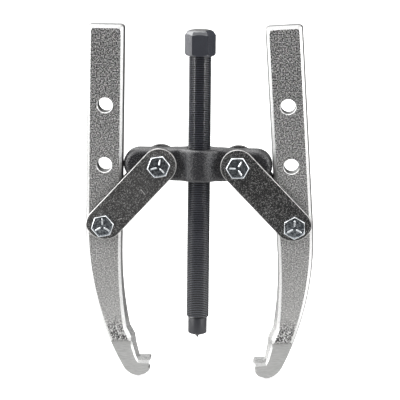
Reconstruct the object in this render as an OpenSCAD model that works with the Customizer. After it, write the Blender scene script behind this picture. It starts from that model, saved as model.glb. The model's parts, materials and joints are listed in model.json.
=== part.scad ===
// Two-jaw gear puller: a forged crosshead carries a forcing screw and four link straps,
// and each pair of straps carries a reversible-hole forged jaw. Millimetres, +Z up.
// The origin is on the screw axis, at the lower end of the live point's cylindrical nose.

/* [Crosshead] */
// Height of the crosshead, top to bottom
crosshead_h = 25; // [22:0.5:28]
// Reach of the crosshead's left arm from the screw's axis
arm_left = 58.1; // [54:0.1:58.1]
// Reach of the crosshead's right arm from the screw's axis
arm_right = 56.6; // [54:0.1:56.6]
// Thickness of the crosshead's arms, front to back
arm_t = 16; // [14:0.5:16]
// Radius of the threaded boss in the middle
boss_r = 15; // [13:0.5:15.5]
// Distance between the two upper bolts
bolt_spacing = 60.3; // [58:0.1:62]
// Height of the crosshead's middle above the nose of the live point
crosshead_z = 133; // [125:1:140]

/* [Links] */
// Distance between a strap's two holes
link_pitch = 63.5; // [60:0.5:66]
// Width of a strap
link_w = 26.8; // [24:0.2:28]
// Thickness of a strap
link_t = 4.8; // [3:0.1:6]
// Angle of the left straps below horizontal
link_left = 47.5; // [45:0.1:47.5]
// Angle of the right straps below horizontal
link_right = 45.9; // [44:0.1:45.9]

/* [Jaws] */
// Thickness of a jaw, front to back
jaw_t = 16; // [13:0.5:16]
// Width of a jaw's straight bar
jaw_w = 26.4; // [24:0.2:27]
// Height of a jaw's top end above its pivot
jaw_top = 154; // [120:1:180]
// Distance between neighbouring holes in a jaw
hole_pitch = 46.2; // [40:0.2:50]
// Inward lean of the left jaw's top end
lean_left = 0.5; // [0:0.1:0.5]
// Inward lean of the right jaw's top end
lean_right = 4; // [3:0.1:4]

/* [Forcing screw] */
// Major diameter of the thread
screw_d = 17.46; // [16:0.02:19.05]
// Width of the hexagon drive across its flats
drive_af = 20.64; // [18:0.02:22.2]
// Height of the hexagon drive
drive_h = 20.2; // [18:0.1:24]
// Threaded length under the hexagon drive
thread_l = 204.4; // [180:0.1:210]
// Diameter of the live point's nose
nose_d = 14.7; // [12:0.1:15.5]

/* [Bolts] */
// Diameter of the pivot bolts' shanks
bolt_d = 11; // [10:0.1:11.1]
// Width of bolt heads and nuts across their flats
bolt_af = 15.875; // [15:0.005:17]
// Height of a bolt head
bolt_head_h = 7.1; // [6:0.1:8]

/* [Hidden] */

$fn = 96;
left = -1;               // side signs
right = 1;
cut = 0.1;               // how far a cutting tool runs past a face

// Clearances
side_gap = 0.1;          // between a strap and the jaw or arm beside it
bolt_hole_r = 5.75;      // holes in the crosshead and the jaws
strap_hole_r = 5.6;      // holes in the straps
thread_gap = 0.05;       // radial gap between the screw and the crosshead

// Planes and places
strap_y = arm_t / 2 + side_gap;
grip_y = strap_y + link_t;
upper_x = bolt_spacing / 2;
function link_angle(side) = side < 0 ? link_left : link_right;
function pivot_x(side) = upper_x + link_pitch * cos(link_angle(side));
function pivot_z(side) = crosshead_z - link_pitch * sin(link_angle(side));
arm_bevel = 3;                       // bevel along the arms' long edges
screw_r = screw_d / 2;
drive_z = 83.4;                      // underside of the hexagon drive above the crosshead's middle
screw_end_z = drive_z - thread_l;

// Live point
nose_r = nose_d / 2;
nose_chamfer = 0.8;
stem_r = 4.2;
stem_l = 12.5;
socket_r = 4.3;
socket_l = 13.2;
ring_wire_r = 0.6;
ring_up = 6;                         // retaining ring above the point's shoulder
ring_seat_r = 3.85;                  // bottom of the stem's groove
ring_path_r = ring_seat_r + ring_wire_r;
ring_room = 0.1;                     // clearance round the ring

// Nuts
nut_hex_h = 7.4;
nut_collar_r = 6.9;
nut_h = 9.6;
nut_bore_r = bolt_d / 2 + 0.05;
insert_r = 6.3;
insert_h = 1.7;
insert_lip = 0.5;                    // collar turned in over the insert
insert_base = nut_h - insert_lip - insert_h;
bolt_end_y = grip_y + nut_h + 2.4;

// Spin of each bolt's hexagon about its own axis: upper left, upper right, lower left, lower right
hex_spin = [10, 2, 12, 30];

// Jaw outline levels: edge inset and hook inset at the parting plane, the side's end and the face.
// The sides have draft, so the jaw is widest at the parting plane.
parting_y = 0.6;
side_y = jaw_t / 2 - 1.8;
level_mid = [-1.2, 0];
level_side = [-0.2, 0.8];
level_face = [1.8, 1];
jaw_corner = 2.4;                    // chamfer of the jaw's top corners
bend_steps = 12;                     // both edges have this many steps along their bends
outer_bend_r = 228;                  // long bend of the jaw's back
outer_bend_v = -1;
inner_bend_v = -20;
heel_r = 14.5;
heel_v = -106.2;
chin_r = 5;
chin_c = [31.3, -114.5];
ground_v = -94;                      // the hook is ground thinner below this height
ground_y = 6.3;                      // half thickness of the ground hook

// Inner edge of the jaw from its knee to its chin, at the parting plane and at the face
knee_mid = [[21, -81], [25, -88], [26, -94.5], [28.6, -104.6], [30.3, -108.6], [33, -111.6], [35.4, -113.2]];
knee_face = [[16.2, -83.5], [19.8, -90.6], [21.8, -97], [24.9, -106.2], [27.6, -110.6], [31.5, -112.4], [35, -113.4]];
// Section of the hook's claw at the parting plane and at the ground faces
claw_mid = [[26, -106.1], [36.9, -105.4], [38.1, -107.2], [37.3, -110.6], [34.5, -115.5], [26, -112]];
claw_face = [[26, -110.4], [36, -110.7], [36.6, -111.3], [36.2, -112.3], [34.2, -115], [26, -113.5]];
claw_y = 3.9;                        // half width of the claw's ledge

function lerp(a, b, t) = a + (b - a) * t;
function reversed(list) = [for (i = [len(list) - 1 : -1 : 0]) list[i]];
function arc2(c, r, from, to, steps) =
    [for (i = [0 : steps]) let (a = lerp(from, to, i / steps)) c + r * [cos(a), sin(a)]];

// Arc that leaves the vertical at point a and ends at point b
function bend2(a, b, steps) = let (
        du = b[0] - a[0],
        dv = b[1] - a[1],
        r = (du * du + dv * dv) / (2 * du)
    ) arc2([a[0] + r, a[1]], r, 180, 180 + asin(-dv / r), steps);

// Back edge of the jaw from its top down to its chin: u is inward, v is up, from the pivot hole
function jaw_back(level) = let (
        s = level[0],
        hw = jaw_w / 2 - s,
        top = jaw_top - 1.5 * max(s, 0),
        sweep = asin((outer_bend_v - heel_v) / (outer_bend_r - heel_r)),
        bend_c = [outer_bend_r - jaw_w / 2, outer_bend_v],
        heel_c = bend_c - (outer_bend_r - heel_r) * [cos(sweep), sin(sweep)]
    ) concat(
        [[jaw_corner - hw, top], [-hw, top - jaw_corner]],
        arc2(bend_c, outer_bend_r - s, 180, 180 + sweep, bend_steps),
        arc2(heel_c, heel_r - s, 188 + sweep, 270, 6),
        arc2(chin_c, chin_r - s, 280, 360, 5)
    );

// Inner edge of the jaw from its top down to its chin
function jaw_inside(level) = let (
        hw = jaw_w / 2 - level[0],
        top = jaw_top - 1.5 * max(level[0], 0),
        knee = [for (i = [0 : len(knee_mid) - 1]) lerp(knee_mid[i], knee_face[i], level[1])]
    ) concat(
        [[hw - jaw_corner, top], [hw, top - jaw_corner]],
        bend2([hw, inner_bend_v], knee[0], bend_steps),
        [for (i = [1 : len(knee) - 1]) knee[i]]
    );

// Solid through pairs of edges, one pair at each depth. Down to point number even the two edges
// match point for point, and below it the rungs between them are shared out by number.
module ladder_loft(backs, insides, depths, even) {
    m = len(backs[0]);
    w = len(insides[0]);
    n = m + w;
    last = len(depths) - 1;
    function rung(i) = i <= even ? i : even + round((i - even) * (w - 1 - even) / (m - 1 - even));
    points = [for (k = [0 : last]) for (p = concat(backs[k], reversed(insides[k]))) [p[0], depths[k], p[1]]];
    sides = [for (k = [0 : last - 1]) for (i = [0 : n - 1])
        let (a = k * n + i, b = k * n + (i + 1) % n)
        each [[a, b, a + n], [b, b + n, a + n]]];
    front = [for (i = [0 : m - 2]) each concat(
        [[i, n - 1 - rung(i), i + 1]],
        [for (j = [rung(i) : 1 : rung(i + 1) - 1]) [n - 1 - j, n - 2 - j, i + 1]]
    )];
    rear = [for (f = front) [f[2], f[1], f[0]] + last * n * [1, 1, 1]];
    polyhedron(points = points, faces = concat(front, sides, rear), convexity = 6);
}

// The hook's claw: widest at the ground faces, narrower at its ledge
module claw() hull() {
    rotate([90, 0, 0]) linear_extrude(2 * claw_y, center = true) polygon(claw_mid);
    rotate([90, 0, 0]) linear_extrude(2 * ground_y + 1, center = true) polygon(claw_face);
}

// Straight hole along Y with a small countersink at each face
module cross_hole(r, half_depth, countersink) {
    rotate([90, 0, 0]) cylinder(r = r, h = 2 * half_depth + 2 * cut, center = true);
    for (s = [-1, 1]) translate([0, s * half_depth, 0]) rotate([s * 90, 0, 0])
        translate([0, 0, -cut]) cylinder(r1 = r + countersink + cut, r2 = r, h = countersink + cut);
}

// Cylinder whose rim is rounded at both ends
module rounded_disc(r, h, rim) {
    rotate_extrude() hull() {
        translate([0, -h / 2]) square([r - rim, h]);
        for (s = [-1, 1]) translate([r - rim, s * (h / 2 - rim)]) intersection() {
            circle(r = rim, $fn = 32);
            translate([0, -rim]) square([rim, 2 * rim]);
        }
    }
}

// Long bar with round ends, seen from the front, with its long edges bevelled
module arm_bar() intersection() {
    end_r = crosshead_h / 2;
    flat_z = crosshead_h / 2 - arm_bevel;
    flat_y = arm_t / 2 - arm_bevel;
    rotate([90, 0, 0]) linear_extrude(arm_t, center = true) {
        translate([end_r - arm_left, -end_r]) square([arm_left + arm_right - crosshead_h, crosshead_h]);
        for (x = [end_r - arm_left, arm_right - end_r]) translate([x, 0]) circle(r = end_r);
    }
    rotate([90, 0, 90]) linear_extrude(2 * arm_left + 2, center = true) polygon([
        for (q = [[1, 1], [-1, 1], [-1, -1], [1, -1]])
            each q[0] * q[1] > 0
                ? [[q[0] * arm_t / 2, q[1] * flat_z], [q[0] * flat_y, q[1] * crosshead_h / 2]]
                : [[q[0] * flat_y, q[1] * crosshead_h / 2], [q[0] * arm_t / 2, q[1] * flat_z]],
    ]);
}

module crosshead() color([0.13, 0.13, 0.15]) translate([0, 0, crosshead_z]) difference() {
    union() {
        arm_bar();
        rounded_disc(boss_r, crosshead_h, 2);
    }
    cylinder(r = screw_r + thread_gap, h = crosshead_h + 2 * cut, center = true);
    for (s = [-1, 1]) translate([0, 0, s * (crosshead_h / 2 - 1)]) mirror([0, 0, s < 0 ? 1 : 0])
        cylinder(r1 = screw_r, r2 = screw_r + 1 + cut, h = 1 + cut);
    for (s = [left, right]) translate([s * upper_x, 0, 0]) cross_hole(bolt_hole_r, arm_t / 2, 0.4);
}

// Hexagonal prism from z = 0 up, chamfered at the ends asked for
module hexagon(af, h, bottom_chamfer, top_chamfer) {
    corner_r = af / 2 / cos(30);
    intersection() {
        cylinder(r = corner_r, h = h, $fn = 6);
        rotate_extrude() polygon([
            [0, 0], [corner_r - bottom_chamfer, 0], [corner_r, bottom_chamfer * 0.5],
            [corner_r, h - top_chamfer * 0.5], [corner_r - top_chamfer, h], [0, h],
        ]);
    }
}

// Hexagon drive, its corners rounded off by turning at both ends
module drive() {
    corner_r = drive_af / 2 / cos(30);
    intersection() {
        cylinder(r = corner_r, h = drive_h, $fn = 6);
        rotate_extrude() polygon([
            [0, 0], [screw_r, 0], [corner_r - 0.8, 2.2], [corner_r, 4.4],
            [corner_r, drive_h - 5.2], [drive_af / 2, drive_h - 2.4], [9.6, drive_h - 1.2], [7.9, drive_h], [0, drive_h],
        ]);
    }
}

module forcing_screw() color([0.11, 0.11, 0.13]) translate([0, 0, crosshead_z]) difference() {
    union() {
        translate([0, 0, drive_z]) drive();
        translate([0, 0, screw_end_z]) {
            cylinder(r1 = screw_r - 1.1, r2 = screw_r, h = 1.2);
            translate([0, 0, 1.2]) cylinder(r = screw_r, h = thread_l - 1.2);
        }
    }
    translate([0, 0, screw_end_z - cut]) cylinder(r = socket_r, h = socket_l + cut);
    translate([0, 0, screw_end_z + ring_up]) rotate_extrude()
        translate([ring_path_r, 0]) circle(r = ring_wire_r + ring_room, $fn = 32);
}

module live_point() color([0.15, 0.15, 0.17]) difference() {
    shoulder = crosshead_z + screw_end_z - 0.05;
    rotate_extrude() polygon([
        [0, -4.6], [0.3, -4.6], [1.4, -2.6], [nose_r - nose_chamfer, -nose_chamfer], [nose_r, 0],
        [nose_r, shoulder - 0.5], [nose_r - 0.5, shoulder], [stem_r, shoulder],
        [stem_r, shoulder + stem_l - 0.6], [stem_r - 0.6, shoulder + stem_l], [0, shoulder + stem_l],
    ]);
    translate([0, 0, crosshead_z + screw_end_z + ring_up]) rotate_extrude()
        translate([ring_path_r, 0]) circle(r = ring_wire_r + 0.01, $fn = 32);
}

module point_retaining_ring() color([0.45, 0.46, 0.48])
    translate([0, 0, crosshead_z + screw_end_z + ring_up]) rotate_extrude(angle = 320)
        translate([ring_path_r, 0]) circle(r = ring_wire_r, $fn = 32);

// Plan of a strap: the upper hole at the origin, the lower hole at link_pitch along X. The lower
// end is trimmed to a flatter arc that leaves a corner on the inner edge (+Y).
module strap_plan() {
    hw = link_w / 2;
    trim_r = 15.7;
    circle(r = hw);
    translate([0, -hw]) square([link_pitch - hw, link_w]);
    intersection() {
        translate([link_pitch - 4, -2]) circle(r = trim_r);
        union() {
            translate([link_pitch, 0]) circle(r = hw);
            translate([link_pitch - hw - 1, -hw]) square([hw + 1, link_w]);
            translate([link_pitch - 1, 0]) square([hw, hw]);
        }
    }
}

// A strap on one side of the puller; face is -1 at the front and 1 at the rear
module strap(side, face) color([0.17, 0.165, 0.16])
    translate([side * upper_x, face * (strap_y + link_t / 2), crosshead_z])
        mirror([side < 0 ? 1 : 0, 0, 0]) rotate([0, link_angle(side), 0]) rotate([-90, 0, 0]) difference() {
            translate([0, 0, -link_t / 2]) linear_extrude(link_t) strap_plan();
            for (x = [0, link_pitch]) translate([x, 0, 0])
                cylinder(r = strap_hole_r, h = link_t + 2 * cut, center = true);
        }

// A jaw on one side of the puller, with its hook turned inward
module jaw(side, lean) color([0.68, 0.68, 0.67])
    translate([side * pivot_x(side), 0, pivot_z(side)]) mirror([side > 0 ? 1 : 0, 0, 0])
        rotate([0, lean, 0]) difference() {
            levels = [level_face, level_side, level_mid, level_mid, level_side, level_face];
            union() {
                ladder_loft(
                    [for (l = levels) jaw_back(l)],
                    [for (l = levels) jaw_inside(l)],
                    [-jaw_t / 2, -side_y, -parting_y, parting_y, side_y, jaw_t / 2],
                    bend_steps + 2
                );
                claw();
            }
            for (i = [0 : 2]) translate([0, 0, i * hole_pitch])
                cross_hole(bolt_hole_r, jaw_t / 2, 0.6);
            for (s = [-1, 1]) translate([-10, s < 0 ? -jaw_t : ground_y, ground_v - 40])
                cube([60, jaw_t - ground_y, 40]);
        }

// Where the bolt of a side sits: level 0 is the upper bolt, 1 the lower
function bolt_at(side, level) =
    level == 0 ? [side * upper_x, 0, crosshead_z] : [side * pivot_x(side), 0, pivot_z(side)];
function bolt_number(side, level) = level * 2 + (side < 0 ? 0 : 1);

module bolt(side, level) color([0.62, 0.66, 0.70]) translate(bolt_at(side, level)) {
    washer_face = 0.4;
    translate([0, -grip_y, 0]) rotate([90, 0, 0]) {
        cylinder(r = bolt_af / 2 - 0.3, h = washer_face);
        translate([0, 0, washer_face]) rotate([0, 0, hex_spin[bolt_number(side, level)]])
            hexagon(bolt_af, bolt_head_h - washer_face, 0, 1.6);
    }
    translate([0, -grip_y, 0]) rotate([-90, 0, 0]) {
        cylinder(r = bolt_d / 2, h = grip_y + bolt_end_y - 1);
        translate([0, 0, grip_y + bolt_end_y - 1]) cylinder(r1 = bolt_d / 2, r2 = bolt_d / 2 - 1, h = 1);
    }
}

module nut(side, level) color([0.60, 0.64, 0.68])
    translate(bolt_at(side, level)) translate([0, grip_y, 0]) rotate([-90, 0, 0]) difference() {
        union() {
            rotate([0, 0, 17 * bolt_number(side, level)]) hexagon(bolt_af, nut_hex_h, 1, 1.2);
            translate([0, 0, nut_hex_h]) rotate_extrude() polygon([
                [0, -1], [nut_collar_r + 0.3, -1], [nut_collar_r, nut_h - nut_hex_h - 0.4],
                [nut_collar_r - 0.4, nut_h - nut_hex_h], [0, nut_h - nut_hex_h],
            ]);
        }
        translate([0, 0, -cut]) cylinder(r = nut_bore_r, h = nut_h + 2 * cut);
        translate([0, 0, insert_base]) cylinder(r = insert_r + 0.02, h = insert_h);
        translate([0, 0, insert_base]) cylinder(r = nut_bore_r + 0.3, h = nut_h);
    }

module insert(side, level) color([0.85, 0.87, 0.88])
    translate(bolt_at(side, level)) translate([0, grip_y + insert_base + 0.01, 0])
        rotate([-90, 0, 0]) difference() {
            cylinder(r = insert_r, h = insert_h - 0.02);
            translate([0, 0, -cut]) cylinder(r = bolt_d / 2 + 0.02, h = insert_h + 2 * cut);
        }

crosshead();
forcing_screw();
live_point();
point_retaining_ring();
strap(left, -1);  // strap_front_left
strap(right, -1);  // strap_front_right
strap(left, 1);  // strap_rear_left
strap(right, 1);  // strap_rear_right
jaw(left, lean_left);  // jaw_left
jaw(right, lean_right);  // jaw_right
bolt(left, 0);  // bolt_upper_left
bolt(right, 0);  // bolt_upper_right
bolt(left, 1);  // bolt_lower_left
bolt(right, 1);  // bolt_lower_right
nut(left, 0);  // nut_upper_left
nut(right, 0);  // nut_upper_right
nut(left, 1);  // nut_lower_left
nut(right, 1);  // nut_lower_right
insert(left, 0);  // insert_upper_left
insert(right, 0);  // insert_upper_right
insert(left, 1);  // insert_lower_left
insert(right, 1);  // insert_lower_right
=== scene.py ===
"""Gear puller: meshes, materials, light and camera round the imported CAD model.

Shapes are worked out in millimetres in the shared frame and written to Blender in metres.
"""
import json
import math

import bmesh
import bpy
import numpy as np
from mathutils import Matrix, Vector


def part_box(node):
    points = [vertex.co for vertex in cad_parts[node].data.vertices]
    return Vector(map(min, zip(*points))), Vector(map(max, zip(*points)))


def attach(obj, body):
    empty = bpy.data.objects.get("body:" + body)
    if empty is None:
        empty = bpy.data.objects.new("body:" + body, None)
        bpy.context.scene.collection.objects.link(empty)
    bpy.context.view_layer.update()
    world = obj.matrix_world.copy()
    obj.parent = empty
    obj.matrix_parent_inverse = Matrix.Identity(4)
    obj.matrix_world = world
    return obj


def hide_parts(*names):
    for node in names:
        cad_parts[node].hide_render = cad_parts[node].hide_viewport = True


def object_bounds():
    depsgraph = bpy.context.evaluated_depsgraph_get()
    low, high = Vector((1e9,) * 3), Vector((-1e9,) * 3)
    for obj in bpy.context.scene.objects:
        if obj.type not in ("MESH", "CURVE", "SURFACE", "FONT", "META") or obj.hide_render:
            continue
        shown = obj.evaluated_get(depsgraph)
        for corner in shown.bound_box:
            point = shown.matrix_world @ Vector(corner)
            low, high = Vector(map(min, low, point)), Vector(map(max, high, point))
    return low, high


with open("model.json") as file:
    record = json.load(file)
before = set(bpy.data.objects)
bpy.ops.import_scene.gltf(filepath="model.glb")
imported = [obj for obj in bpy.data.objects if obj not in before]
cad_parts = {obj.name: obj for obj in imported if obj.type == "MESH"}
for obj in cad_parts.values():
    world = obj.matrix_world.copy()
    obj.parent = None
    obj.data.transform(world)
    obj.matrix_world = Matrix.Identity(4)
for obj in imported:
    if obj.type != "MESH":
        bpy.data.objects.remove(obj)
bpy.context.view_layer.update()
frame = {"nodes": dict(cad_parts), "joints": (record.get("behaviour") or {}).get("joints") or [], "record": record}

MM = 0.001
SIDES = {"left": -1, "right": 1}
JOINTS = {j["name"]: j for j in frame["joints"]}
MOUNTS = {m["name"]: m for m in frame["record"]["mounts"]}


def node_box(node):
    """Lowest and highest corners of a CAD node, in mm."""
    low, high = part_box(node)
    return np.array(low) / MM, np.array(high) / MM


def joint_at(name):
    return np.array(JOINTS[name]["pos_m"]) / MM


def mount_at(name):
    return np.array(MOUNTS[name]["pos_m"]) / MM


# --- Places and sizes, from the frame -----------------------------------------------------------
CROSS_LOW, CROSS_HIGH = node_box("crosshead")
CROSS_Z = (CROSS_LOW[2] + CROSS_HIGH[2]) / 2
CROSS_HALF_H = (CROSS_HIGH[2] - CROSS_LOW[2]) / 2
BOSS_R = (CROSS_HIGH[1] - CROSS_LOW[1]) / 2
JAW_LOW, JAW_HIGH = node_box("jaw_left")
HALF_T = (JAW_HIGH[1] - JAW_LOW[1]) / 2
STRAP_LOW, STRAP_HIGH = node_box("strap_front_left")
STRAP_T = STRAP_HIGH[1] - STRAP_LOW[1]
GRIP_Y = -STRAP_LOW[1]
UPPER = {side: joint_at(f"link_swing_{side}") for side in SIDES}
LOWER = {side: joint_at(f"jaw_swing_{side}") for side in SIDES}
SCREW_LOW, SCREW_HIGH = node_box("forcing_screw")
BOLT_END_Y = node_box("bolt_upper_left")[1][1]
NUT_LOW, NUT_HIGH = node_box("nut_upper_left")
HOLE_R = MOUNTS["jaw_hole_top_left"]["dims"]["r_mm"]
NOSE_R = MOUNTS["screw_nose"]["dims"]["r_mm"]

THREAD_R = 8.73
THREAD_PITCH = 25.4 / 18
DRIVE_AF = 20.64
DRIVE_H = 20.2
DRIVE_R = DRIVE_AF / 2 / math.cos(math.radians(30))
# profiles of the drive's ends, from the axis out: distance from the axis, and height over the lower end
# or over the upper one
DRIVE_LOW = [(0, 0), (THREAD_R, 0), (DRIVE_AF / 2, 0.7), (DRIVE_R - 0.8, 2.0), (DRIVE_R, 4.4)]
DRIVE_TOP = [(0, 0), (7.4, 0), (9.2, -1.1), (DRIVE_AF / 2, -3.2), (DRIVE_R, -5.2)]
# how far each end's chamfer follows the six sides, from 0 for a cone to 1 for the same bevel all round
LOW_BEVEL = 0.45
TOP_BEVEL = 0.68
BOLT_R = 5.5
BOLT_PITCH = 25.4 / 20
BOLT_AF = 15.875
HEAD_H = 7.1
LINE_H = 0.4              # grade lines above the head's face, inside its height


# --- Meshes ---------------------------------------------------------------------------------------
def add_mesh(name, verts, faces, sharp=32):
    """Object from vertices in mm, shaded smooth except across edges sharper than that many degrees."""
    mesh = bpy.data.meshes.new(name)
    mesh.from_pydata([tuple(v) for v in np.asarray(verts) * MM], [], [tuple(f) for f in faces])
    obj = bpy.data.objects.new(name, mesh)
    bpy.context.scene.collection.objects.link(obj)
    tidy_mesh(obj, sharp)
    return obj


def tidy_mesh(obj, sharp=32):
    """Merges doubled vertices, drops empty faces, closes ends and turns every face outward."""
    bm = bmesh.new()
    bm.from_mesh(obj.data)
    bmesh.ops.remove_doubles(bm, verts=bm.verts, dist=0.002 * MM)
    bmesh.ops.dissolve_degenerate(bm, edges=bm.edges, dist=0.002 * MM)
    bmesh.ops.holes_fill(bm, edges=[e for e in bm.edges if e.is_boundary], sides=0)
    bmesh.ops.recalc_face_normals(bm, faces=bm.faces)
    bm.to_mesh(obj.data)
    bm.free()
    obj.data.polygons.foreach_set("use_smooth", [True] * len(obj.data.polygons))
    obj.data.set_sharp_from_angle(angle=math.radians(sharp))


def apply_modifiers(obj, sharp=32):
    depsgraph = bpy.context.evaluated_depsgraph_get()
    mesh = bpy.data.meshes.new_from_object(obj.evaluated_get(depsgraph), depsgraph=depsgraph)
    obj.modifiers.clear()
    obj.data = mesh
    tidy_mesh(obj, sharp)


def combine(obj, others, operation, sharp=32):
    """Boolean of obj with each other object, which is then removed."""
    for other in others:
        mod = obj.modifiers.new("combine", "BOOLEAN")
        mod.operation = operation
        mod.solver = "EXACT"
        mod.object = other
        bpy.context.view_layer.update()
        apply_modifiers(obj, sharp)
        bpy.data.objects.remove(other)


def round_edges(obj, width, segments=2, angle=38):
    mod = obj.modifiers.new("round", "BEVEL")
    mod.width = width * MM
    mod.segments = segments
    mod.limit_method = "ANGLE"
    mod.angle_limit = math.radians(angle)
    mod.use_clamp_overlap = True
    mod.harden_normals = False
    apply_modifiers(obj)


def place(obj, matrix):
    obj.data.transform(matrix)
    if matrix.determinant() < 0:
        obj.data.flip_normals()
    obj.data.update()


def moved(at):
    return Matrix.Translation(Vector(np.asarray(at) * MM))


TO_REAR = Matrix.Rotation(math.radians(-90), 4, "X")      # local +Z turned to +Y
TO_FRONT = Matrix.Rotation(math.radians(90), 4, "X")      # local +Z turned to -Y


def arc(centre, radius, start, end, steps):
    a = np.radians(np.linspace(start, end, steps + 1))
    return np.stack([centre[0] + radius * np.cos(a), centre[1] + radius * np.sin(a)], axis=1)


def ring_faces(rings, points):
    """Quads between neighbouring closed rings that have the same number of points."""
    return [(k * points + i, k * points + (i + 1) % points,
             (k + 1) * points + (i + 1) % points, (k + 1) * points + i)
            for k in range(rings - 1) for i in range(points)]


def ring_solid(name, outlines, depths, sharp=32):
    """Solid along Y through outlines of equal length in the XZ plane, one at each depth."""
    n = len(outlines[0])
    verts = np.concatenate([
        np.stack([o[:, 0], np.full(n, y), o[:, 1]], axis=1) for o, y in zip(outlines, depths)])
    faces = ring_faces(len(depths), n)
    faces.append(range(n - 1, -1, -1))
    faces.append(range((len(depths) - 1) * n, len(depths) * n))
    return add_mesh(name, verts, faces, sharp)


def inset(outline, distance):
    """An anticlockwise outline moved inward by a distance."""
    before = outline - np.roll(outline, 1, axis=0)
    after = np.roll(outline, -1, axis=0) - outline
    n1 = np.stack([-before[:, 1], before[:, 0]], axis=1) / np.linalg.norm(before, axis=1)[:, None]
    n2 = np.stack([-after[:, 1], after[:, 0]], axis=1) / np.linalg.norm(after, axis=1)[:, None]
    return outline + distance * (n1 + n2) / (1 + (n1 * n2).sum(axis=1))[:, None]


def rounded_plate(name, outline, low, high, radius, steps=3):
    """Plate along Y with its rim rounded."""
    turn = np.radians(np.linspace(0, 90, steps + 1))
    insets = list(radius * (1 - np.sin(turn)))
    depths = list(low + radius * (1 - np.cos(turn)))
    insets += insets[::-1]
    depths += [low + high - d for d in depths[::-1]]
    return ring_solid(name, [inset(outline, i) for i in insets], depths)


def lathe(name, profile, segments=96, sharp=32):
    """Solid turned about Z from (radius, height) points that start and end on the axis."""
    a = np.linspace(0, 2 * np.pi, segments, endpoint=False)
    verts = np.concatenate([
        np.stack([r * np.cos(a), r * np.sin(a), np.full(segments, z)], axis=1) for r, z in profile])
    return add_mesh(name, verts, ring_faces(len(profile), segments), sharp)


def hex_radius(angle, af):
    """Distance from a hexagon's middle to its side; a corner is at angle 0."""
    sixth = np.pi / 3
    return af / 2 / np.cos(np.mod(angle, sixth) - sixth / 2)


def hexagon(name, af, height, low_chamfer, high_chamfer, spin=0, relief=None, steps=180):
    """Hexagonal prism from z = 0, with a conical chamfer below and a bevelled rim above.

    relief(x, y) raises its top face.
    """
    a = np.arange(steps) * 2 * np.pi / steps
    r = hex_radius(a, af)

    def ring(radius, z):
        turn = a + math.radians(spin)
        return np.stack([radius * np.cos(turn), radius * np.sin(turn), z + 0 * a], axis=1)

    low_r = af / 2 - low_chamfer
    rings = [ring(0.0, 0.0), ring(np.full(steps, low_r), 0.0)]
    rings.append(ring(r, np.maximum(r - low_r, 0) * math.tan(math.radians(30)) if low_chamfer else 0.0))
    # the corners are rounded more than the sides
    corner = (r - af / 2) * 0.5
    for inward, drop in ((0, 1.0), (0.12, 0.55), (0.5, 0.15), (1.0, 0.0)):
        edge = r - (high_chamfer + corner) * inward
        rings.append(ring(edge, height - (0.75 * high_chamfer + corner) * drop))
    rim = (r - high_chamfer - corner) / (af / 2 - high_chamfer)
    face_rings = 14
    for i in range(face_rings - 1, -1, -1):
        share = i / face_rings
        flat = (af / 2 - high_chamfer) * share * (1 + (rim - 1) * share)
        top = ring(flat, height)
        if relief:
            top[:, 2] += relief(top[:, 0], top[:, 1])
        rings.append(top)
    return add_mesh(name, np.concatenate(rings), ring_faces(len(rings), steps), sharp=40)


def profiled_hexagon(name, af, height, low, top, steps=180):
    """Hexagonal prism whose ends follow (distance, height) profiles."""
    a = np.arange(steps) * 2 * np.pi / steps
    side = hex_radius(a, af)
    shares = np.array([0, 0.3, 0.6, 0.68, 0.73, 0.78, 0.82, 0.86, 0.89, 0.92, 0.95, 0.975, 1])

    def end_height(share, profile, bevel):
        return np.interp(share * side * (af / 2 / side) ** bevel, *np.array(profile).T)

    rings = [(share * side, end_height(share, low, LOW_BEVEL)) for share in shares]
    rings += [(share * side, height + end_height(share, top, TOP_BEVEL)) for share in shares[::-1]]
    verts = np.concatenate([np.stack([r * np.cos(a), r * np.sin(a), z], axis=1) for r, z in rings])
    return add_mesh(name, verts, ring_faces(len(rings), steps), sharp=22)


def threaded_rod(name, radius, pitch, low, high, low_chamfer, high_chamfer, segments=48):
    """Right-hand 60 degree thread along Z with a chamfer at each end."""
    minor = radius - 0.54 * pitch
    # one turn's rows: share of the pitch, and radius
    rows = [(0.0, minor), (0.10, minor), (0.38, radius), (0.72, radius)]
    turns = int(math.ceil((high - low) / pitch)) + 2
    j = np.arange(segments)
    angle = 2 * np.pi * j / segments
    rings = []
    for k in range(-1, turns):
        for part, r in rows:
            z = low + (k + part) * pitch + pitch * j / segments
            limit = np.minimum(radius - low_chamfer + (z - low), radius - high_chamfer + (high - z))
            z = np.clip(z, low, high)
            ends = np.where(z <= low, radius - low_chamfer, radius - high_chamfer)
            inner = np.where((z <= low) | (z >= high), ends, np.minimum(r, limit))
            rings.append(np.stack([inner * np.cos(angle), inner * np.sin(angle), z], axis=1))
    count = len(rings)
    seam = len(rows)

    def at(i, k):
        return (i + seam, 0) if k == segments else (i, k)

    faces = []
    for i in range(count - 1 - seam):
        for k in range(segments):
            corners = [at(i, k), at(i, k + 1), at(i + 1, k + 1), at(i + 1, k)]
            faces.append([a * segments + b for a, b in corners])
    return add_mesh(name, np.concatenate(rings), faces, sharp=25)


# --- Jaws -----------------------------------------------------------------------------------------
# In a jaw's own plane u points inward and v up, from the pivot hole.
JAW_HALF_W = 13.2
JAW_TOP = 154
BEND_R = 228
BEND_V = -1
INNER_BEND_V = -20
HEEL_R = 14.5
HEEL_V = -106.2
CHIN_R = 5
CHIN = (31.3, -114.5)
GROUND_V = -94
GROUND_Y = 6.3
CLAW_Y = 3.9
# inner edge from the knee to the chin, at the parting plane and at the face
KNEE_MID = [(21, -81), (25, -88), (26, -94.5), (28.6, -104.6), (30.3, -108.6), (33, -111.6),
            (35.4, -113.2)]
KNEE_FACE = [(16.2, -83.5), (19.8, -90.6), (21.8, -97), (24.9, -106.2), (27.6, -110.6), (31.5, -112.4),
             (35, -113.4)]
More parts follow.
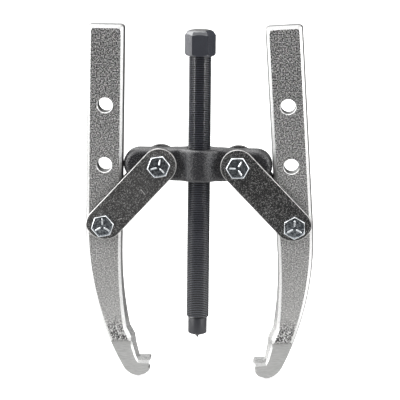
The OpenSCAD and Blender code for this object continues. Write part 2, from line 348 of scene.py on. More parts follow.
# section of the claw at the depth CLAW_Y and just past the ground flats
CLAW_MID = [(26, -106.1), (36.9, -105.4), (38.1, -107.2), (37.3, -110.6), (34.5, -115.5), (26, -112)]
CLAW_FACE = [(26, -111.8), (36, -112.2), (36.6, -112.7), (36.2, -113.3), (34.2, -115), (26, -113.8)]
# at each depth from the parting plane, the edge's inset (outward below 0), and how far from KNEE_MID
# to KNEE_FACE the knee's top points and its other points lie
JAW_LEVELS = [(8.0, 1.8, 1.0, 1.0), (6.2, -0.18, 0.5, 0.95), (5.2, -0.36, 0.45, 0.6),
              (3.4, -0.68, 0.3, 0.36), (0.6, -1.17, 0.0, 0.0)]
KNEE_TOP_POINTS = 2
JAW_CORNER = 2.4
JAW_EDGE = 0.5
JAW_SHARP = 14            # degrees; keeps the shading of the large flats even


def jaw_outline(edge, knee_top, knee_rest):
    """Anticlockwise outline of a jaw at one depth."""
    half_w = JAW_HALF_W - edge
    top = JAW_TOP - 1.5 * max(edge, 0)
    sweep = math.degrees(math.asin((BEND_V - HEEL_V) / (BEND_R - HEEL_R)))
    bend = np.array([BEND_R - JAW_HALF_W, BEND_V])
    way = np.array([math.cos(math.radians(sweep)), math.sin(math.radians(sweep))])
    heel = bend - (BEND_R - HEEL_R) * way
    morph = np.full(len(KNEE_MID), knee_rest)
    morph[:KNEE_TOP_POINTS] = knee_top
    knee = np.array(KNEE_MID) + (np.array(KNEE_FACE) - np.array(KNEE_MID)) * morph[:, None]
    du, dv = knee[0] - np.array([half_w, INNER_BEND_V])
    r = (du * du + dv * dv) / (2 * du)
    inner = arc((half_w + r, INNER_BEND_V), r, 180 + math.degrees(math.asin(-dv / r)), 180, 24)
    return np.concatenate([
        arc((half_w - JAW_CORNER, top - JAW_CORNER), JAW_CORNER, 0, 90, 5),
        arc((JAW_CORNER - half_w, top - JAW_CORNER), JAW_CORNER, 90, 180, 5),
        arc(bend, BEND_R - edge, 180, 180 + sweep, 40),
        arc(heel, HEEL_R - edge, 183 + sweep, 270, 16),
        arc(CHIN, CHIN_R - edge, 276, 360, 10),
        knee[:0:-1],
        inner,
    ])


def hull_solid(name, points):
    """Convex hull of points in mm."""
    bm = bmesh.new()
    for p in points:
        bm.verts.new(Vector(p) * MM)
    result = bmesh.ops.convex_hull(bm, input=bm.verts)
    spare = set(result["geom_interior"] + result["geom_unused"])
    spare = [g for g in spare if isinstance(g, bmesh.types.BMVert)]
    bmesh.ops.delete(bm, geom=spare, context="VERTS")
    mesh = bpy.data.meshes.new(name)
    bm.to_mesh(mesh)
    bm.free()
    obj = bpy.data.objects.new(name, mesh)
    bpy.context.scene.collection.objects.link(obj)
    return obj


def hole_cutter(radius, half_depth, countersink, at=(0, 0)):
    """Cutter for a hole along Y, countersunk at both faces."""
    reach = 1.0
    profile = [
        (0, -half_depth - reach), (radius + countersink + reach, -half_depth - reach),
        (radius, -half_depth + countersink), (radius, half_depth - countersink),
        (radius + countersink + reach, half_depth + reach), (0, half_depth + reach)]
    cutter = lathe("cutter", profile, segments=64)
    place(cutter, moved((at[0], 0, at[1])) @ TO_REAR)
    return cutter


def ground_cutter(face):
    """Takes the hook down to its ground thickness on one face (-1 front, 1 rear), with a ramp above."""
    below = GROUND_V - 40
    section = np.array([(below, GROUND_Y), (GROUND_V, GROUND_Y), (GROUND_V + 1.6, HALF_T),
                        (GROUND_V + 2.2, HALF_T + 2), (below, HALF_T + 2)])
    verts = [(x, face * y, v) for x in (-20, 60) for v, y in section]
    n = len(section)
    faces = [range(n), range(2 * n - 1, n - 1, -1)]
    faces += [(i, i + n, (i + 1) % n + n, (i + 1) % n) for i in range(n)]
    return add_mesh("cutter", verts, faces)


def make_jaw(side):
    levels = JAW_LEVELS + [(-level[0], *level[1:]) for level in JAW_LEVELS[::-1]]
    outlines = [jaw_outline(*level[1:]) for level in levels]
    body = ring_solid(f"{side}_jaw_forging", outlines[::-1], [level[0] for level in levels[::-1]])
    claw = hull_solid("claw", [(u, s * CLAW_Y, v) for u, v in CLAW_MID for s in (-1, 1)]
                      + [(u, s * (GROUND_Y + 0.5), v) for u, v in CLAW_FACE for s in (-1, 1)])
    combine(body, [claw], "UNION")
    combine(body, [ground_cutter(-1), ground_cutter(1)], "DIFFERENCE")
    round_edges(body, JAW_EDGE)
    pitch = np.linalg.norm(mount_at(f"jaw_hole_middle_{side}") - LOWER[side])
    holes = [hole_cutter(HOLE_R, HALF_T, 0.6, (0, i * pitch)) for i in range(3)]
    combine(body, holes, "DIFFERENCE", sharp=JAW_SHARP)
    across, _, up = mount_at(f"jaw_hole_top_{side}") - LOWER[side]
    lean = math.atan2(-SIDES[side] * across, up)
    mirror = Matrix.Scale(-SIDES[side], 4, Vector((1, 0, 0)))
    place(body, moved(LOWER[side]) @ mirror @ Matrix.Rotation(lean, 4, "Y"))
    return body


# --- Crosshead ------------------------------------------------------------------------------------
ARM_HALF_T = 8
ARM_CORNER = 7.5          # corners cut off the bar that the voxel mesh starts from
VOXEL = 0.7
BORE_GAP = 0.05
ARM_ROUND = 5
BOSS_ROUND = 2.2
BOSS_BLEND = 3.5


def crosshead_distance(p):
    """Signed distance to the forging: a bar with round ends, blended into the boss in plan."""
    x, y, z = p.T
    y = np.abs(y)
    past_right = np.maximum(x - (CROSS_HIGH[0] - CROSS_HALF_H), 0)
    past_left = np.maximum(CROSS_LOW[0] + CROSS_HALF_H - x, 0)
    past = past_right + past_left
    across = np.hypot(past, z) - CROSS_HALF_H
    boss = np.hypot(x, y) - BOSS_R
    arm = y - ARM_HALF_T
    near = np.maximum(BOSS_BLEND - np.abs(arm - boss), 0) / BOSS_BLEND
    plan = np.minimum(arm, boss) - near ** 2 * BOSS_BLEND / 4
    share = np.clip((boss - 3) / 8, 0, 1)
    r = BOSS_ROUND + (ARM_ROUND - BOSS_ROUND) * share * share * (3 - 2 * share)
    a = across + r
    b = plan + r
    return np.minimum(np.maximum(a, b), 0) + np.hypot(np.maximum(a, 0), np.maximum(b, 0)) - r


def make_crosshead():
    """Voxel mesh round the forging, drawn onto its exact surface, then bored."""
    bar = hull_solid("crosshead_forging", [
        (x - math.copysign(c, x), y * ARM_HALF_T, z * (CROSS_HALF_H - ARM_CORNER + c))
        for x in (CROSS_LOW[0], CROSS_HIGH[0]) for y in (-1, 1) for z in (-1, 1) for c in (0, ARM_CORNER)])
    start_r = BOSS_R + 1
    boss = lathe("boss", [
        (0, -CROSS_HALF_H), (start_r, -CROSS_HALF_H), (start_r, CROSS_HALF_H), (0, CROSS_HALF_H)])
    combine(bar, [boss], "UNION")
    mod = bar.modifiers.new("voxels", "REMESH")
    mod.mode = "VOXEL"
    mod.voxel_size = VOXEL * MM
    apply_modifiers(bar)
    mesh = bar.data
    p = np.empty(len(mesh.vertices) * 3)
    mesh.vertices.foreach_get("co", p)
    p = p.reshape(-1, 3) / MM
    step = 0.01
    for _ in range(8):
        d = crosshead_distance(p)
        ahead = [crosshead_distance(p + step * axis) for axis in np.eye(3)]
        slope = np.stack([(a - d) / step for a in ahead], axis=1)
        p -= d[:, None] * slope / np.maximum((slope ** 2).sum(axis=1), 0.25)[:, None]
    mesh.vertices.foreach_set("co", (p * MM).ravel())
    reach = 1.0
    bore_r = THREAD_R + BORE_GAP
    bore = lathe("cutter", [
        (0, -CROSS_HALF_H - reach), (bore_r + 1 + reach, -CROSS_HALF_H - reach),
        (bore_r, -CROSS_HALF_H + 1), (bore_r, CROSS_HALF_H - 1),
        (bore_r + 1 + reach, CROSS_HALF_H + reach), (0, CROSS_HALF_H + reach)])
    holes = [hole_cutter(HOLE_R, ARM_HALF_T, 0.4, (UPPER[side][0], 0)) for side in SIDES]
    combine(bar, [bore] + holes, "DIFFERENCE")
    place(bar, moved((0, 0, CROSS_Z)))
    return bar


# --- Straps ---------------------------------------------------------------------------------------
STRAP_HALF_W = 13.4
STRAP_ROUND = 0.7
STRAP_HOLE_R = 5.6
TRIM_R = 15.7
TRIM_C = (-4, -2)          # centre of the trimmed end's arc, from the lower hole, along and across


def strap_outline(pitch):
    """Anticlockwise outline: x runs from the upper hole to the lower, the corner is at +y."""
    hw = STRAP_HALF_W
    centre = np.array([pitch, 0]) + TRIM_C
    start = math.degrees(math.asin((hw - TRIM_C[1]) / TRIM_R))
    # where the trimmed end meets the round end below the axis
    spans = np.linspace(-90, 0, 400)
    ends = arc((pitch, 0), hw, -90, 0, 399)
    inside = np.linalg.norm(ends - centre, axis=1) <= TRIM_R
    meet = spans[inside].max()
    join = ends[inside][-1]
    low = math.degrees(math.atan2(join[1] - centre[1], join[0] - centre[0]))
    return np.concatenate([
        arc((0, 0), hw, 90, 270, 36),
        arc((pitch, 0), hw, -90, meet, 14),
        arc(centre, TRIM_R, low, start, 20)[1:],
    ])


def make_strap(side, face):
    pitch = np.linalg.norm(LOWER[side] - UPPER[side])
    low, high = sorted((face * GRIP_Y, face * (GRIP_Y - STRAP_T)))
    plan = strap_outline(pitch)
    name = f"{side}_{'front' if face < 0 else 'rear'}_strap_plate"
    body = rounded_plate(name, plan, low, high, STRAP_ROUND, 5)
    mid = (low + high) / 2
    holes = [hole_cutter(STRAP_HOLE_R, STRAP_T / 2, 0.3, (x, 0)) for x in (0, pitch)]
    for hole in holes:
        place(hole, moved((0, mid, 0)))
    combine(body, holes, "DIFFERENCE")
    drop = LOWER[side] - UPPER[side]
    angle = math.atan2(-drop[2], abs(drop[0]))
    # the corner faces inward and down, so the plan's +y turns to below the strap
    flip = Matrix.Scale(-1, 4, Vector((0, 0, 1)))
    mirror = Matrix.Scale(SIDES[side], 4, Vector((1, 0, 0)))
    place(body, moved(UPPER[side]) @ mirror @ Matrix.Rotation(angle, 4, "Y") @ flip)
    return body


# --- Screw, point and fasteners -------------------------------------------------------------------
def make_screw():
    into_drive = 1
    rod_top = SCREW_HIGH[2] - DRIVE_H + into_drive
    rod = threaded_rod("forcing_screw_thread", THREAD_R, THREAD_PITCH, SCREW_LOW[2], rod_top, 1.1, 0.1)
    head = profiled_hexagon("drive", DRIVE_AF, DRIVE_H, DRIVE_LOW, DRIVE_TOP)
    place(head, moved((0, 0, SCREW_HIGH[2] - DRIVE_H)))
    combine(rod, [head], "UNION", sharp=25)
    socket_r, socket_l = 4.3, 13.2
    socket = lathe("cutter", [(0, -1), (socket_r, -1), (socket_r, socket_l), (0, socket_l)], 48)
    place(socket, moved((0, 0, SCREW_LOW[2])))
    combine(rod, [socket], "DIFFERENCE", sharp=25)
    return rod


def make_point():
    shoulder = SCREW_LOW[2] - 0.05
    stem_r, stem_l = 4.2, 12.5
    return lathe("live_point_nose", [
        (0, -4.6), (0.25, -4.55), (0.4, -4.3), (1.3, -2.75), (1.6, -2.55), (6.3, -0.95), (6.55, -0.8),
        (7.1, -0.25), (NOSE_R, 0.05), (NOSE_R, shoulder - 0.55), (7.2, shoulder - 0.2), (6.85, shoulder),
        (stem_r, shoulder), (stem_r, shoulder + 5.4), (3.86, shoulder + 5.6), (3.86, shoulder + 6.5),
        (stem_r, shoulder + 6.7), (stem_r, shoulder + stem_l - 0.6), (stem_r - 0.6, shoulder + stem_l),
        (0, shoulder + stem_l)])


def grade_lines(spin):
    """Relief of three raised radial lines, a third of a turn apart."""
    def relief(x, y):
        height = 0 * x
        for k in range(3):
            a = math.radians(spin + 120 * k)
            along = x * math.cos(a) + y * math.sin(a)
            off = np.abs(y * math.cos(a) - x * math.sin(a))
            width = np.clip((0.6 - off) / 0.5, 0, 1)
            start = np.clip((along - 1.5) / 0.4, 0, 1)
            end = np.clip((6.3 - along) / 0.4, 0, 1)
            height = np.maximum(height, LINE_H * width * start * end)
        return height
    return relief


# turn of each bolt's hexagon and of its grade lines, in degrees
HEX_SPIN = {("upper", "left"): 10, ("upper", "right"): 2, ("lower", "left"): 12, ("lower", "right"): 30}
LINE_SPIN = {("upper", "left"): 76, ("upper", "right"): 60, ("lower", "left"): 90, ("lower", "right"): 90}
BOLT_THREAD_L = 14
WASHER_FACE = 0.4
NUT_SPIN = 17             # degrees from one nut to the next


def pivot(level, side):
    return (UPPER if level == "upper" else LOWER)[side]


def make_bolt(level, side):
    thread_y = BOLT_END_Y - BOLT_THREAD_L
    rod = threaded_rod(f"{side}_{level}_bolt_body", BOLT_R, BOLT_PITCH, thread_y, BOLT_END_Y, 0.1, 0.9, 40)
    place(rod, TO_REAR)
    shank_l = GRIP_Y + thread_y + 0.6
    shank = lathe("shank", [(0, 0), (BOLT_R, 0), (BOLT_R, shank_l), (0, shank_l)], 64)
    place(shank, moved((0, -GRIP_Y - 0.3, 0)) @ TO_REAR)
    face_r = BOLT_AF / 2 - 0.3
    face_h = WASHER_FACE + 0.2
    washer = lathe("washer_face", [(0, 0), (face_r, 0), (face_r, face_h), (0, face_h)], 72)
    lines = grade_lines(LINE_SPIN[level, side])
    head_h = HEAD_H - WASHER_FACE - LINE_H
    head = hexagon("head", BOLT_AF, head_h, 0, 1.1, HEX_SPIN[level, side], lines)
    place(head, moved((0, 0, WASHER_FACE)))
    for part in (washer, head):
        place(part, moved((0, -GRIP_Y, 0)) @ TO_FRONT)
    combine(rod, [shank, washer, head], "UNION", sharp=24)
    place(rod, moved(pivot(level, side)))
    return rod


def make_nut(level, side, number):
    height = NUT_HIGH[1] - NUT_LOW[1]
    hex_h = 7.4
    collar_r = 6.9
    bore_r = BOLT_R + BORE_GAP
    lip_r = BOLT_R + 0.35
    # recess for the nylon ring
    insert_base = height - 2.2
    recess_r, recess_h = 6.32, 1.7
    nut = hexagon(f"{side}_{level}_nut_body", BOLT_AF, hex_h, 0.5, 0.6, NUT_SPIN * number)
    collar = lathe("collar", [
        (0, hex_h - 1), (collar_r + 0.3, hex_h - 1), (collar_r + 0.05, hex_h + 0.4),
        (collar_r, height - 0.6), (collar_r - 0.12, height - 0.25), (collar_r - 0.4, height),
        (0, height)])
    combine(nut, [collar], "UNION", sharp=24)
    bore = lathe("cutter", [
        (0, -1), (bore_r + 1.6, -1), (bore_r, 0.6), (bore_r, insert_base), (recess_r, insert_base),
        (recess_r, insert_base + recess_h), (lip_r, insert_base + recess_h), (lip_r, height + 1),
        (0, height + 1)])
    combine(nut, [bore], "DIFFERENCE", sharp=24)
    place(nut, moved(pivot(level, side) + np.array([0, NUT_LOW[1], 0])) @ TO_REAR)
    return nut


# --- Materials ------------------------------------------------------------------------------------
# ends of the scratches on the left strap, as (x, z)
STRAP_SCRATCHES = [((-44.0, 114.5), (-40.8, 110.5)), ((-61.5, 90.4), (-58.6, 91.6))]
SCRATCH_W = 0.5
RUBBED_DEPTH = 1.5        # how deep under a strap's outer face its rim is rubbed
STRAP_SHADE_X = 20             # painted shade: straps beyond this are the darker ones, those beyond -20 the lighter


def fill_ramp(ramp, stops):
    """Sets a colour ramp's stops, each a position with a colour or a grey."""
    while len(ramp.elements) < len(stops):
        ramp.elements.new(0.5)
    for element, (position, colour) in zip(ramp.elements, stops):
        element.position = position
        element.color = (*colour, 1) if isinstance(colour, tuple) else (colour, colour, colour, 1)


class Shader:
    """Principled material built node by node; every texture is in object space, in metres."""

    def __init__(self, name, **values):
        self.material = bpy.data.materials.new(name)
        self.material.use_nodes = True
        self.nodes = self.material.node_tree.nodes
        self.links = self.material.node_tree.links
        self.bsdf = self.nodes["Principled BSDF"]
        self.place = self.nodes.new("ShaderNodeTexCoord").outputs["Object"]
        for key, value in values.items():
            self.bsdf.inputs[key.replace("_", " ")].default_value = value

    def node(self, kind, inputs=None, **settings):
        node = self.nodes.new("ShaderNode" + kind)
        for key, value in settings.items():
            setattr(node, key, value)
        for key, value in (inputs or {}).items():
            if isinstance(value, bpy.types.NodeSocket):
                self.links.new(value, node.inputs[key])
            else:
                node.inputs[key].default_value = value
        return node

    def noise(self, size, detail=2.0, roughness=0.5, vector=None):
        """Noise whose features are about size mm across."""
        return self.node("TexNoise", {"Vector": vector or self.place, "Scale": 1 / (size * MM),
                                      "Detail": detail, "Roughness": roughness}).outputs["Fac"]

    def ramp(self, value, *stops):
        node = self.node("ValToRGB", {"Fac": value})
        fill_ramp(node.color_ramp, stops)
        return node.outputs["Color"]

    def math(self, operation, a, b=0.0, c=0.0):
        return self.node("Math", {0: a, 1: b, 2: c}, operation=operation).outputs[0]

    def mix(self, share, a, b, blend="MIX"):
        node = self.node("Mix", data_type="RGBA", blend_type=blend)
        for key, value in ((0, share), (6, a), (7, b)):
            if isinstance(value, bpy.types.NodeSocket):
                self.links.new(value, node.inputs[key])
            else:
                node.inputs[key].default_value = value if key == 0 else (*value, 1)
        return node.outputs[2]

    def axis(self, vector, name):
        return self.node("SeparateXYZ", {0: vector}).outputs[name]

    def both(self, first, *rest):
        """Product of masks."""
        for mask in rest:
            first = self.math("MULTIPLY", first, mask)
        return first

    def either(self, first, *rest):
        for mask in rest:
            first = self.math("MAXIMUM", first, mask)
        return first

    def without(self, mask):
        return self.math("SUBTRACT", 1.0, mask)

    def bump(self, *layers):
        """Layers are (height, size in mm) from the deepest up."""
        normal = None
        for height, distance in layers:
            node = self.node("Bump", {"Height": height, "Distance": distance * MM, "Strength": 1.0})
            if normal:
                self.links.new(normal, node.inputs["Normal"])
            normal = node.outputs["Normal"]
        self.links.new(normal, self.bsdf.inputs["Normal"])

    def set(self, name, value):
        self.links.new(value, self.bsdf.inputs[name])


# heights in mm between which the jaws' finish and their painted shade change, as shares 0 to 1
FINISH_AND_SHADE_Z = (-30, 230)
FLAT_FACING = 0.96        # a face is one of the flats when its normal is this close to Y
SIDE_FACING = 0.55        # and one of the sides when it is further from Y than this
LINE_Y = 6.15             # round the hook, bevels carry the painted highlight beyond this depth
LINE_SHIFT = 1.0          # and from this much less beside the ground flats
SHADED_RIM_Y = GROUND_Y - 0.65
SHADED_RIM_HALF_W = 0.5


def jaw_material():
    """Blasted and silver coated: speckled, with painted shade that darkens it towards the top, and a painted
    highlight on the bevels.
    """
    s = Shader("shot_blasted_silver")
    parts = s.node("SeparateXYZ", {0: s.place})
    low_z, high_z = (z * MM for z in FINISH_AND_SHADE_Z)
    share = s.node("MapRange", {"Value": parts.outputs["Z"], "From Min": low_z, "From Max": high_z})
    height = share.outputs["Result"]
    grain = s.noise(1.0, 3, 0.7)
    fine = s.noise(0.5, 2, 0.5)
    cloud = s.noise(24, 3, 0.55)

    # masks: faces along Y are the forged flats, or the hook's ground flats where they lie lower
    turned = s.node("SeparateXYZ", {0: s.node("NewGeometry").outputs["True Normal"]})
    facing = s.math("ABSOLUTE", turned.outputs["Y"])
    flat = s.math("GREATER_THAN", facing, FLAT_FACING)
    side = s.math("LESS_THAN", facing, SIDE_FACING)
    depth = s.math("ABSOLUTE", parts.outputs["Y"])
    ground = s.both(s.math("LESS_THAN", depth, (GROUND_Y + 0.2) * MM), flat)
    down = s.math("LESS_THAN", turned.outputs["Z"], -0.5)
    # round the hook the painted highlight stays on a line next to the flats, and the inner slopes beyond it are
    # plain
    hook = s.ramp(height, (0.15, 1.0), (0.165, 0.0))
    low = s.ramp(height, (0.085, 1.0), (0.09, 0.0))
    beside = s.math("GREATER_THAN", s.math("ADD", depth, s.both(low, LINE_SHIFT * MM)), LINE_Y * MM)
    outward = s.both(turned.outputs["X"], s.math("SIGN", parts.outputs["X"]))
    inner = s.either(s.math("LESS_THAN", outward, -0.25), s.math("GREATER_THAN", turned.outputs["Z"], 0.3))
    line = s.both(beside, s.without(side))
    slope = s.both(inner, hook, s.without(flat), s.without(line))
    # painted shade: the ground flats' outer edge is dark
    at_edge = s.math("COMPARE", depth, SHADED_RIM_Y * MM, SHADED_RIM_HALF_W * MM)
    rim = s.both(low, s.without(flat), s.without(inner), at_edge)
    bevel = s.both(s.without(s.either(flat, side, ground, down)), s.without(s.either(slope, rim)))

    dark = s.ramp(grain, (0.41, (0.02, 0.02, 0.021)), (0.5, (0.29, 0.286, 0.286)),
                  (0.585, (1.0, 0.99, 0.98)))
    light = s.ramp(grain, (0.36, (0.40, 0.395, 0.39)), (0.5, (0.62, 0.615, 0.605)),
                   (0.64, (0.84, 0.83, 0.815)))
    streak = s.noise(5, 3, 0.6, s.node("Mapping", {"Vector": s.place, "Scale": (1, 1, 9)}).outputs[0])
    ground_colour = s.ramp(streak, (0.3, (0.50, 0.50, 0.49)), (0.7, (0.68, 0.68, 0.67)))
    # painted shade: the sides and hole walls, turned away from the flats, are darker
    shaded_side_colour = s.ramp(grain, (0.36, (0.24, 0.24, 0.24)), (0.64, (0.48, 0.48, 0.475)))
    slope_colour = s.ramp(grain, (0.36, (0.34, 0.34, 0.34)), (0.64, (0.68, 0.68, 0.67)))
    # painted highlight: the bevels get a near-white colour where they would mirror the bright surroundings
    painted_bevel_highlight = s.ramp(grain, (0.34, (0.74, 0.74, 0.73)), (0.5, (0.96, 0.96, 0.95)))
    pitted = s.ramp(s.noise(1.1, 3, 0.7), (0.44, (0.03, 0.03, 0.03)), (0.60, (0.95, 0.94, 0.93)))
    # painted shade: a lighter copy of the finish low on the jaw and a darker copy towards the top
    colour = s.mix(s.ramp(height, (0.1, 0.0), (0.45, 0.6), (0.9, 1.0)), light, dark)
    colour = s.mix(0.3, colour, s.ramp(cloud, (0.3, 0.6), (0.7, 1.0)), "MULTIPLY")
    colour = s.mix(s.ramp(height, (0.085, 0.0), (0.095, 1.0), (0.125, 0.9), (0.18, 0.0)), colour, pitted)
    colour = s.mix(side, colour, shaded_side_colour)
    colour = s.mix(bevel, s.mix(ground, colour, ground_colour), painted_bevel_highlight)
    colour = s.mix(slope, colour, slope_colour)
    # painted shade: the dark edge along the ground flats
    s.set("Base Color", s.mix(rim, colour, (0.10, 0.10, 0.10)))
    s.set("Metallic", s.ramp(height, (0.1, 0.6), (0.6, 0.9)))
    rough = s.ramp(fine, (0.3, 0.34), (0.7, 0.50))
    s.set("Roughness", s.mix(bevel, s.mix(ground, rough, (0.42, 0.42, 0.42)), (0.30, 0.30, 0.30)))

    blasted = s.without(s.both(s.either(ground, bevel), 0.75))
    pits = s.ramp(height, (0.085, 0.0), (0.10, 1.0), (0.13, 1.0), (0.19, 0.0))
    coarse = s.both(s.noise(1.3, 2, 0.6), pits)
    s.bump((cloud, 0.2), (s.both(coarse, blasted), 1.0), (s.both(grain, blasted), 0.35),
           (s.both(fine, blasted), 0.08))
    return s.material


def scratch(s, start, end, width):
    """1 along a thin line between two points (x, z) in mm."""
    flat = s.node("VectorMath", {0: s.place, 1: (1, 0, 1)}, operation="MULTIPLY").outputs[0]
    a, b = (Vector((p[0], 0, p[1])) * MM for p in (start, end))
    away = s.node("VectorMath", {0: flat, 1: a}, operation="SUBTRACT").outputs[0]
    along = s.node("VectorMath", {0: away, 1: b - a}, operation="DOT_PRODUCT").outputs["Value"]
    share = s.node("Math", {0: along, 1: 1 / (b - a).length_squared}, operation="MULTIPLY", use_clamp=True)
    foot = s.node("VectorMath", {0: b - a, "Scale": share.outputs[0]}, operation="SCALE").outputs[0]
    off = s.node("VectorMath", {0: away, 1: foot}, operation="DISTANCE").outputs["Value"]
    return s.math("LESS_THAN", off, width / 2 * MM)


def rubbed_bare(s, parts):
    """Where the straps' finish is gone: along the outer faces' rims and in the scratches."""
    facing = s.math("ABSOLUTE", s.axis(s.node("NewGeometry").outputs["Normal"], "Y"))
    outer = s.math("GREATER_THAN", s.math("ABSOLUTE", parts.outputs["Y"]), (GRIP_Y - RUBBED_DEPTH) * MM)
    turned = s.both(s.ramp(facing, (0.15, 0.0), (0.25, 1.0)), s.ramp(facing, (0.93, 1.0), (0.98, 0.0)))
    patchy = s.ramp(s.noise(6, 3, 0.6), (0.3, 0.7), (0.6, 1.0))
    lines = [s.both(scratch(s, start, end, SCRATCH_W), 0.9) for start, end in STRAP_SCRATCHES]
    return s.either(s.both(outer, turned, patchy), *lines)


def black_material(name, base, roughness, grain_size, grain_depth, ior,
                   speck=0.0, plate=False, rod=False):
    """Black finish over forged steel. A plate has a rim rubbed bare and painted shade on the right; a rod has
    painted shade in its thread roots.
    """
    s = Shader(name, IOR=ior)
    grain = s.noise(grain_size, 4, 0.6)
    cloud = s.noise(22, 3, 0.5)
    parts = s.node("SeparateXYZ", {0: s.place})
    colour = s.mix(cloud, tuple(c * 0.7 for c in base), tuple(c * 1.35 for c in base))
    bare = s.ramp(s.noise(0.6, 2, 0.5), (0.54, 0.0), (0.66, speck))
    if plate:
        bare = s.either(bare, rubbed_bare(s, parts))
        # painted shade: the right straps are made darker
        limits = {"From Min": -STRAP_SHADE_X * MM, "From Max": STRAP_SHADE_X * MM}
        across = s.node("MapRange", {"Value": parts.outputs["X"], **limits})
        right_shade = s.ramp(across.outputs["Result"], (0.0, 0.95), (1.0, 0.25))
        colour = s.mix(1.0, colour, right_shade, "MULTIPLY")
    if rod:
        # painted shade: the thread roots are darkened by their distance from the axis
        across = s.node("VectorMath", {0: s.place, 1: (1, 1, 0)}, operation="MULTIPLY").outputs[0]
        radius = s.node("VectorMath", {0: across}, operation="LENGTH").outputs["Value"]
        reach = s.math("DIVIDE", radius, THREAD_R * MM)
        colour = s.mix(s.ramp(reach, (0.935, 0.0), (0.985, 1.0)), (0.004, 0.004, 0.005), colour)
    s.set("Base Color", s.mix(bare, colour, (0.85, 0.84, 0.83)))
    s.set("Metallic", bare)
    s.set("Roughness", s.ramp(cloud, (0.3, roughness - 0.05), (0.7, roughness + 0.08)))
    s.bump((cloud, 0.25), (grain, grain_depth))
    return s.material


def zinc_material(name, low=(0.18, 0.21, 0.25), high=(0.84, 0.90, 0.95)):
    """Clear zinc: mottled on the flats, with a painted highlight where it is turned away from them."""
    s = Shader(name, Metallic=1.0)
    facing = s.math("ABSOLUTE", s.axis(s.node("NewGeometry").outputs["Normal"], "Y"))
    face = s.ramp(s.noise(1.8, 3, 0.6), (0.38, low), (0.62, high))
    # painted highlight: faces turned away from the flats get a near-white colour
    s.set("Base Color", s.mix(s.ramp(facing, (0.93, 0.0), (0.985, 1.0)), (0.90, 0.93, 0.96), face))
    s.set("Roughness", s.ramp(s.noise(1.2), (0.3, 0.14), (0.7, 0.24)))
    s.bump((s.noise(4, 2), 0.10), (s.noise(0.9, 2), 0.04))
    return s.material


def nylon_material():
    s = Shader("natural_nylon", Roughness=0.45)
    s.set("Base Color", s.ramp(s.noise(2), (0.3, (0.62, 0.64, 0.64)), (0.7, (0.72, 0.74, 0.74))))
    s.bump((s.noise(0.6), 0.03))
    return s.material


JAW = jaw_material()
STRAP = black_material("charcoal_strap_finish", (0.042, 0.041, 0.040), roughness=0.42,
                       grain_size=0.7, grain_depth=0.10, ior=1.6, speck=0.5, plate=True)
FORGED = black_material("forged_black_finish", (0.013, 0.013, 0.017), roughness=0.17,
                        grain_size=1.4, grain_depth=0.42, ior=1.9, speck=0.15)
OXIDE = black_material("oiled_black_oxide", (0.056, 0.059, 0.074), roughness=0.17,
                       grain_size=0.8, grain_depth=0.03, ior=2.2, rod=True)
POINT = black_material("hardened_point", (0.040, 0.041, 0.048), roughness=0.34,
                       grain_size=0.8, grain_depth=0.03, ior=1.6)
ZINC = zinc_material("bright_zinc")
SPRING = zinc_material("spring_wire", (0.50, 0.50, 0.50), (0.64, 0.64, 0.63))
NYLON = nylon_material()


# --- Assembly -------------------------------------------------------------------------------------
def dress(obj, material, body, node):
    obj.data.materials.clear()
    obj.data.materials.append(material)
    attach(obj, body)
    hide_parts(node)


def give(node, material):
    """Puts a material on a CAD node that is shown as it is."""
    mesh = frame["nodes"][node].data
    mesh.materials.clear()
    mesh.materials.append(material)


dress(make_crosshead(), FORGED, "crosshead", "crosshead")
dress(make_screw(), OXIDE, "screw", "forcing_screw")
dress(make_point(), POINT, "point", "live_point")
give("point_retaining_ring", SPRING)
for side in SIDES:
    dress(make_jaw(side), JAW, f"{side}_jaw", f"jaw_{side}")
    for where, face in (("front", -1), ("rear", 1)):
        dress(make_strap(side, face), STRAP, f"{side}_link", f"strap_{where}_{side}")
for number, (level, side) in enumerate(HEX_SPIN):
    dress(make_bolt(level, side), ZINC, f"{side}_link", f"bolt_{level}_{side}")
    dress(make_nut(level, side, number), ZINC, f"{side}_link", f"nut_{level}_{side}")
    give(f"insert_{level}_{side}", NYLON)


# --- Floor, light and camera ----------------------------------------------------------------------
# light of the surroundings from straight in front (0) to straight behind (1), on the left and on the right
LEFT_LIGHT = [(0.03, 0.08), (0.22, 1.0), (0.76, 3.6), (0.97, 0.8)]
RIGHT_LIGHT = [(0.03, 0.08), (0.22, 0.9), (0.56, 1.2), (0.70, 0.06)]
# glow of the floor by distance in metres
FLOOR_GLOW = [(0.2, 0.75), (0.62, 0.08)]
# more of it straight out to the left and right, by distance
SIDE_GLOW = [(0.12, 0.0), (0.25, 1.0), (0.8, 1.0), (1.0, 0.0)]
# what the camera sees of the floor and the backdrop
FLOOR_SEEN = 0.75
BACKDROP_SEEN = 1.05
# name, place and size in mm, power in W
LIGHTS = [
    ("left_softbox", (-900, -250, 500), (500, 900), 2.5),
    ("right_softbox", (900, -150, 450), (500, 900), 1.5),
    ("top_softbox", (0, -100, 1100), (900, 500), 1.2),
    ("left_strip", (-1050, -760, 300), (110, 900), 2.4),
    ("right_strip", (1050, -760, 300), (110, 900), 2.4),
    ("front_fill", (-350, -1300, 700), (500, 500), 0.45),
    ("left_rear_softbox", (-1250, 790, 60), (500, 900), 1.2),
]


def lit_apart(tree, seen, light, out):
    """Shows one shader to the eye and lights the object with the other."""
    pick = tree.nodes.new("ShaderNodeMixShader")
    path = tree.nodes.new("ShaderNodeLightPath")
    tree.links.new(path.outputs["Is Camera Ray"], pick.inputs[0])
    tree.links.new(light.outputs[0], pick.inputs[1])
    tree.links.new(seen.outputs[0], pick.inputs[2])
    tree.links.new(pick.outputs[0], out.inputs["Surface"])


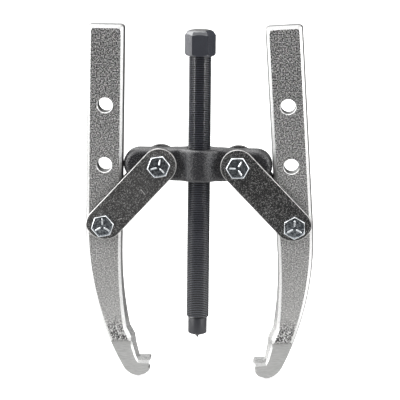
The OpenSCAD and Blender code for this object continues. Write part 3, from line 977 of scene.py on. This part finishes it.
def make_floor():
    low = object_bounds()[0][2] / MM
    reach = 6000
    corners = [(-reach, -reach, low), (reach, -reach, low), (reach, reach, low), (-reach, reach, low)]
    floor = add_mesh("floor", corners, [(0, 1, 2, 3)])
    s = Shader("pale_floor", Roughness=0.9)
    s.set("Base Color", s.ramp(s.noise(400), (0.3, 0.80), (0.7, 0.82)))
    s.bsdf.inputs["Emission Color"].default_value = (1, 1, 1, 1)
    s.bsdf.inputs["Emission Strength"].default_value = FLOOR_SEEN
    near = s.node("VectorMath", {0: s.place}, operation="LENGTH").outputs["Value"]
    parts = s.node("SeparateXYZ", {0: s.place})
    across = s.math("ABSOLUTE", parts.outputs["X"])
    spread = s.math("DIVIDE", s.math("ABSOLUTE", parts.outputs["Y"]), s.math("MAXIMUM", across, MM))
    side_glow = s.both(s.ramp(across, *SIDE_GLOW), s.ramp(spread, (0.25, 1.0), (0.55, 0.0)))
    cast = s.node("Emission", {"Color": s.math("ADD", s.ramp(near, *FLOOR_GLOW), side_glow)})
    lit_apart(s.material.node_tree, s.bsdf, cast, s.nodes["Material Output"])
    floor.data.materials.append(s.material)


def make_world():
    """White backdrop to the eye; its light is dim from in front and strongest from the left rear."""
    world = bpy.data.worlds.new("studio")
    bpy.context.scene.world = world
    world.use_nodes = True
    tree = world.node_tree
    tree.nodes.clear()
    direction = tree.nodes.new("ShaderNodeTexCoord").outputs["Generated"]
    parts = tree.nodes.new("ShaderNodeSeparateXYZ")
    tree.links.new(direction, parts.inputs[0])
    half = tree.nodes.new("ShaderNodeMath")
    half.operation = "MULTIPLY_ADD"
    half.inputs[1].default_value = 0.5
    half.inputs[2].default_value = 0.5
    tree.links.new(parts.outputs["Y"], half.inputs[0])
    ramps = []
    for stops in (LEFT_LIGHT, RIGHT_LIGHT):
        ramp = tree.nodes.new("ShaderNodeValToRGB")
        ramp.color_ramp.interpolation = "EASE"
        fill_ramp(ramp.color_ramp, stops)
        tree.links.new(half.outputs[0], ramp.inputs[0])
        ramps.append(ramp)
    across = tree.nodes.new("ShaderNodeMapRange")
    across.interpolation_type = "SMOOTHSTEP"
    across.inputs["From Min"].default_value = -0.3
    across.inputs["From Max"].default_value = 0.3
    tree.links.new(parts.outputs["X"], across.inputs["Value"])
    both = tree.nodes.new("ShaderNodeMix")
    both.data_type = "RGBA"
    tree.links.new(across.outputs["Result"], both.inputs[0])
    tree.links.new(ramps[0].outputs["Color"], both.inputs[6])
    tree.links.new(ramps[1].outputs["Color"], both.inputs[7])
    light = tree.nodes.new("ShaderNodeBackground")
    tree.links.new(both.outputs[2], light.inputs["Color"])
    light.inputs["Strength"].default_value = 1.0
    seen = tree.nodes.new("ShaderNodeBackground")
    seen.inputs["Color"].default_value = (1, 1, 1, 1)
    seen.inputs["Strength"].default_value = BACKDROP_SEEN
    lit_apart(tree, seen, light, tree.nodes.new("ShaderNodeOutputWorld"))


def area_light(name, at, size, power, aim=(0, 0, 110)):
    data = bpy.data.lights.new(name, "AREA")
    data.shape = "RECTANGLE"
    data.size, data.size_y = size[0] * MM, size[1] * MM
    data.energy = power
    lamp = bpy.data.objects.new(name, data)
    bpy.context.scene.collection.objects.link(lamp)
    lamp.location = Vector(at) * MM
    lamp.rotation_euler = (Vector(aim) - Vector(at)).to_track_quat("-Z", "Y").to_euler()


def make_camera():
    eye = Vector((64.7, -1500, CROSS_Z + 246.3))
    target = Vector((1.0, 0, CROSS_Z - 28.3))
    roll = math.radians(0.6)
    data = bpy.data.cameras.new("camera")
    data.lens = 177.5
    data.clip_end = 50
    camera = bpy.data.objects.new("camera", data)
    bpy.context.scene.collection.objects.link(camera)
    camera.location = eye * MM
    turn = (target - eye).to_track_quat("-Z", "Y").to_matrix() @ Matrix.Rotation(roll, 3, "Z")
    camera.rotation_euler = turn.to_euler()
    bpy.context.scene.camera = camera


make_floor()
make_world()
for light in LIGHTS:
    area_light(*light)
make_camera()
bpy.context.scene.view_settings.view_transform = "Standard"
